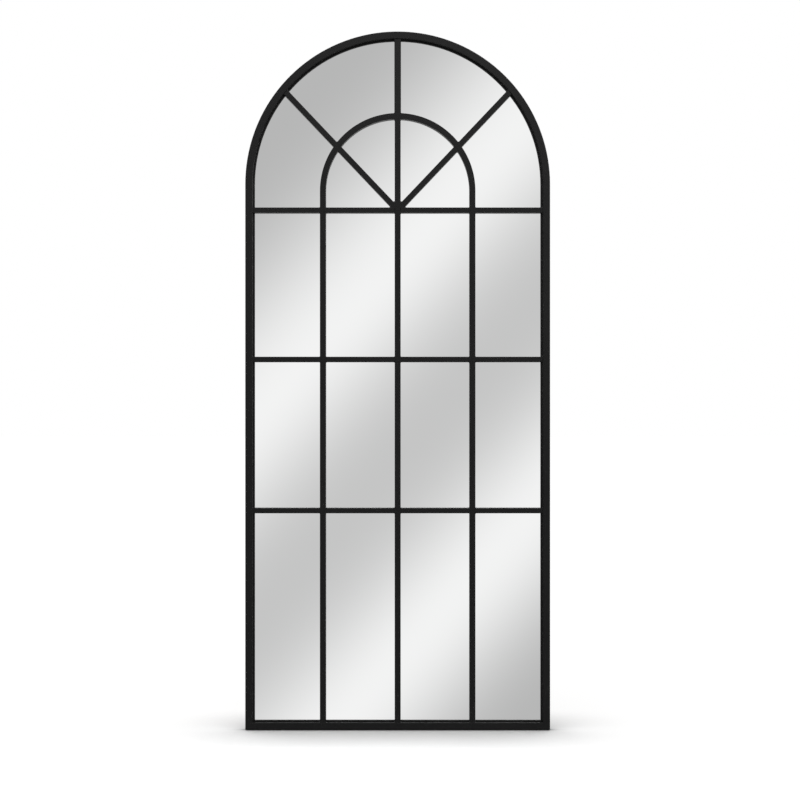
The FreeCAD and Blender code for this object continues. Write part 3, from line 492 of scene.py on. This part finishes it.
def build_floor():
    bm = bmesh.new()
    bm.faces.new([bm.verts.new((x * FLOOR_HALF, y * FLOOR_HALF, 0))
                  for x, y in ((-1, -1), (1, -1), (1, 1), (-1, 1))])
    mesh = bpy.data.meshes.new("floor")
    bm.to_mesh(mesh)
    bm.free()
    mesh.materials.append(floor_finish())
    floor = bpy.data.objects.new("floor", mesh)
    scene.collection.objects.link(floor)
    floor.visible_glossy = False


build_floor()

# ---------------------------------------------------------------- world and lamps
ROOM_GREY = 0.62  # what matt surfaces see all round
GLASS_DISTANCE = VIEW_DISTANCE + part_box("mirror_glass")[0].y - FRONT  # from the camera to the mirror's face

# Diagonal bands, by their place on the glass as the front camera sees it.
BAND_PERIOD = 1.06  # height from one light band to the next
BAND_SLOPE = 1.1  # rise of a band for each metre to the right
BAND_START = 0.165  # height of the lower light band at the middle of the glass
BAND_STRETCH = 0.22  # share by which the pattern is drawn out above the second light band
BAND_LEVEL = 0.703  # mean brightness, where 1 is white
BAND_WAVES = ((0.194, 0.0, 1.0), (0.021, 0.0, 0.5), (0.045, 0.5, 2.0))  # swing; start and length, in periods
LEAST_DEPTH = 0.5  # keeps the bands wide in directions along the wall

# Brightness of the rest, and where it changes: from which lean of a direction, sideways or up, to which.
GLASS_ASIDE, GLASS_UP = (0.10, 0.24), (0.19, 0.32)  # edge of what the front camera sees in the glass
LOWER_GAIN, UPPER_GAIN, UPPER = 0.82, 1.15, (-0.25, 0.3)  # strength of the bands past that edge
CORNER_GAIN, CORNER_ASIDE, CORNER_UP = 1.2, (-0.1, 0.3), (-0.05, 0.3)  # more of them at the upper right
END_ASIDE, ENDS_ASIDE = 0.3, (0.80, 0.97)  # less of them far to the sides
END_UP, ENDS_UP = 0.4, (0.75, 0.97)  # and far up and down
OVERHEAD, OVERHEAD_START, OVERHEAD_END = 4.5, (0.19, 0.42), (0.58, 0.82)  # soft light above
OVERHEAD_LEFT, OVERHEAD_RIGHT, OVERHEAD_ASIDE = 0.45, 1.2, (-0.3, 0.3)  # its strength on either side
SIDE_LIGHT, SIDE_ASIDE, SIDE_UP = 2.5, (0.62, 0.90), (-0.10, 0.12)  # soft light on the right


def band_light(g, x, y, z):
    """Brightness of the bands in a direction."""
    depth = g.math("MAXIMUM", g.math("ABSOLUTE", y), LEAST_DEPTH)
    slant = g.math("DIVIDE", g.math("SUBTRACT", z, g.math("MULTIPLY", x, BAND_SLOPE)), depth)
    across = g.math("ADD", g.math("MULTIPLY", slant, GLASS_DISTANCE),
                    CAMERA_Z - BAND_SLOPE * CAMERA_X - BAND_START)
    above = g.math("MAXIMUM", g.math("SUBTRACT", across, BAND_PERIOD), 0.0)
    across = g.math("SUBTRACT", across, g.math("MULTIPLY", above, BAND_STRETCH))
    band = BAND_LEVEL
    for swing, start, length in BAND_WAVES:
        turn = g.math("MULTIPLY", g.math("SUBTRACT", across, start * BAND_PERIOD),
                      2 * math.pi / (length * BAND_PERIOD))
        band = g.math("ADD", g.math("MULTIPLY", g.math("COSINE", turn), swing), band)
    return band


def studio_light(g, x, y, z):
    """Brightness that a reflection sees in a direction: bands in front, soft lights above and on the right."""
    aside, aloft = g.math("ABSOLUTE", x), g.math("ABSOLUTE", z)
    outside = g.math("MAXIMUM", g.smooth(aside, 0.0, 1.0, *GLASS_ASIDE), g.smooth(aloft, 0.0, 1.0, *GLASS_UP))
    corner = g.math("MULTIPLY", g.smooth(x, 0.0, 1.0, *CORNER_ASIDE), g.smooth(z, 0.0, CORNER_GAIN, *CORNER_UP))
    gain = g.math("ADD", g.smooth(z, LOWER_GAIN, UPPER_GAIN, *UPPER), corner)
    band = g.math("MULTIPLY", band_light(g, x, y, z), g.spread(outside, 1.0, gain))
    ends_light = g.math("MULTIPLY", g.smooth(aside, 1.0, END_ASIDE, *ENDS_ASIDE),
                        g.smooth(aloft, 1.0, END_UP, *ENDS_UP))
    overhead = g.math("MULTIPLY", g.smooth(z, 0.0, OVERHEAD, *OVERHEAD_START),
                      g.smooth(z, 1.0, 0.0, *OVERHEAD_END))
    overhead = g.math("MULTIPLY", overhead, g.smooth(x, OVERHEAD_LEFT, OVERHEAD_RIGHT, *OVERHEAD_ASIDE))
    side = g.math("MULTIPLY", g.smooth(x, 0.0, SIDE_LIGHT, *SIDE_ASIDE), g.smooth(z, 0.0, 1.0, *SIDE_UP))
    return g.math("ADD", g.math("MULTIPLY", band, ends_light), g.math("ADD", overhead, side))


def build_world():
    """White for the camera, even grey for matt surfaces, and the studio's lights for reflections."""
    world = bpy.data.worlds.new("studio")
    scene.world = world
    g = Graph(world)
    direction = g.add("ShaderNodeSeparateXYZ", {0: g.add("ShaderNodeTexCoord").outputs["Generated"]})
    glow = studio_light(g, *(direction.outputs[axis] for axis in "XYZ"))
    mirrored = g.add("ShaderNodeCombineColor", {0: glow, 1: glow, 2: glow}).outputs[0]
    rays = g.add("ShaderNodeLightPath")
    shown = g.blend(rays.outputs["Is Glossy Ray"], grey(ROOM_GREY), mirrored)
    shown = g.blend(rays.outputs["Is Camera Ray"], shown, grey(1.0))
    sky = g.add("ShaderNodeBackground", {"Color": shown, "Strength": 1.0}).outputs[0]
    g.output(sky, "ShaderNodeOutputWorld")


def sun(name, strength, spread, azimuth, elevation):
    """Even soft light from one side, angles in degrees: azimuth 0 comes from the front, 90 from the right."""
    data = bpy.data.lights.new(name, "SUN")
    data.energy = strength
    data.angle = math.radians(spread)
    lamp = bpy.data.objects.new(name, data)
    lamp.rotation_euler = (math.radians(90 - elevation), 0, math.radians(azimuth))
    lamp.visible_glossy = False
    scene.collection.objects.link(lamp)


build_world()
sun("key", strength=1.1, spread=70, azimuth=-25, elevation=55)
sun("fill", strength=0.35, spread=90, azimuth=35, elevation=35)
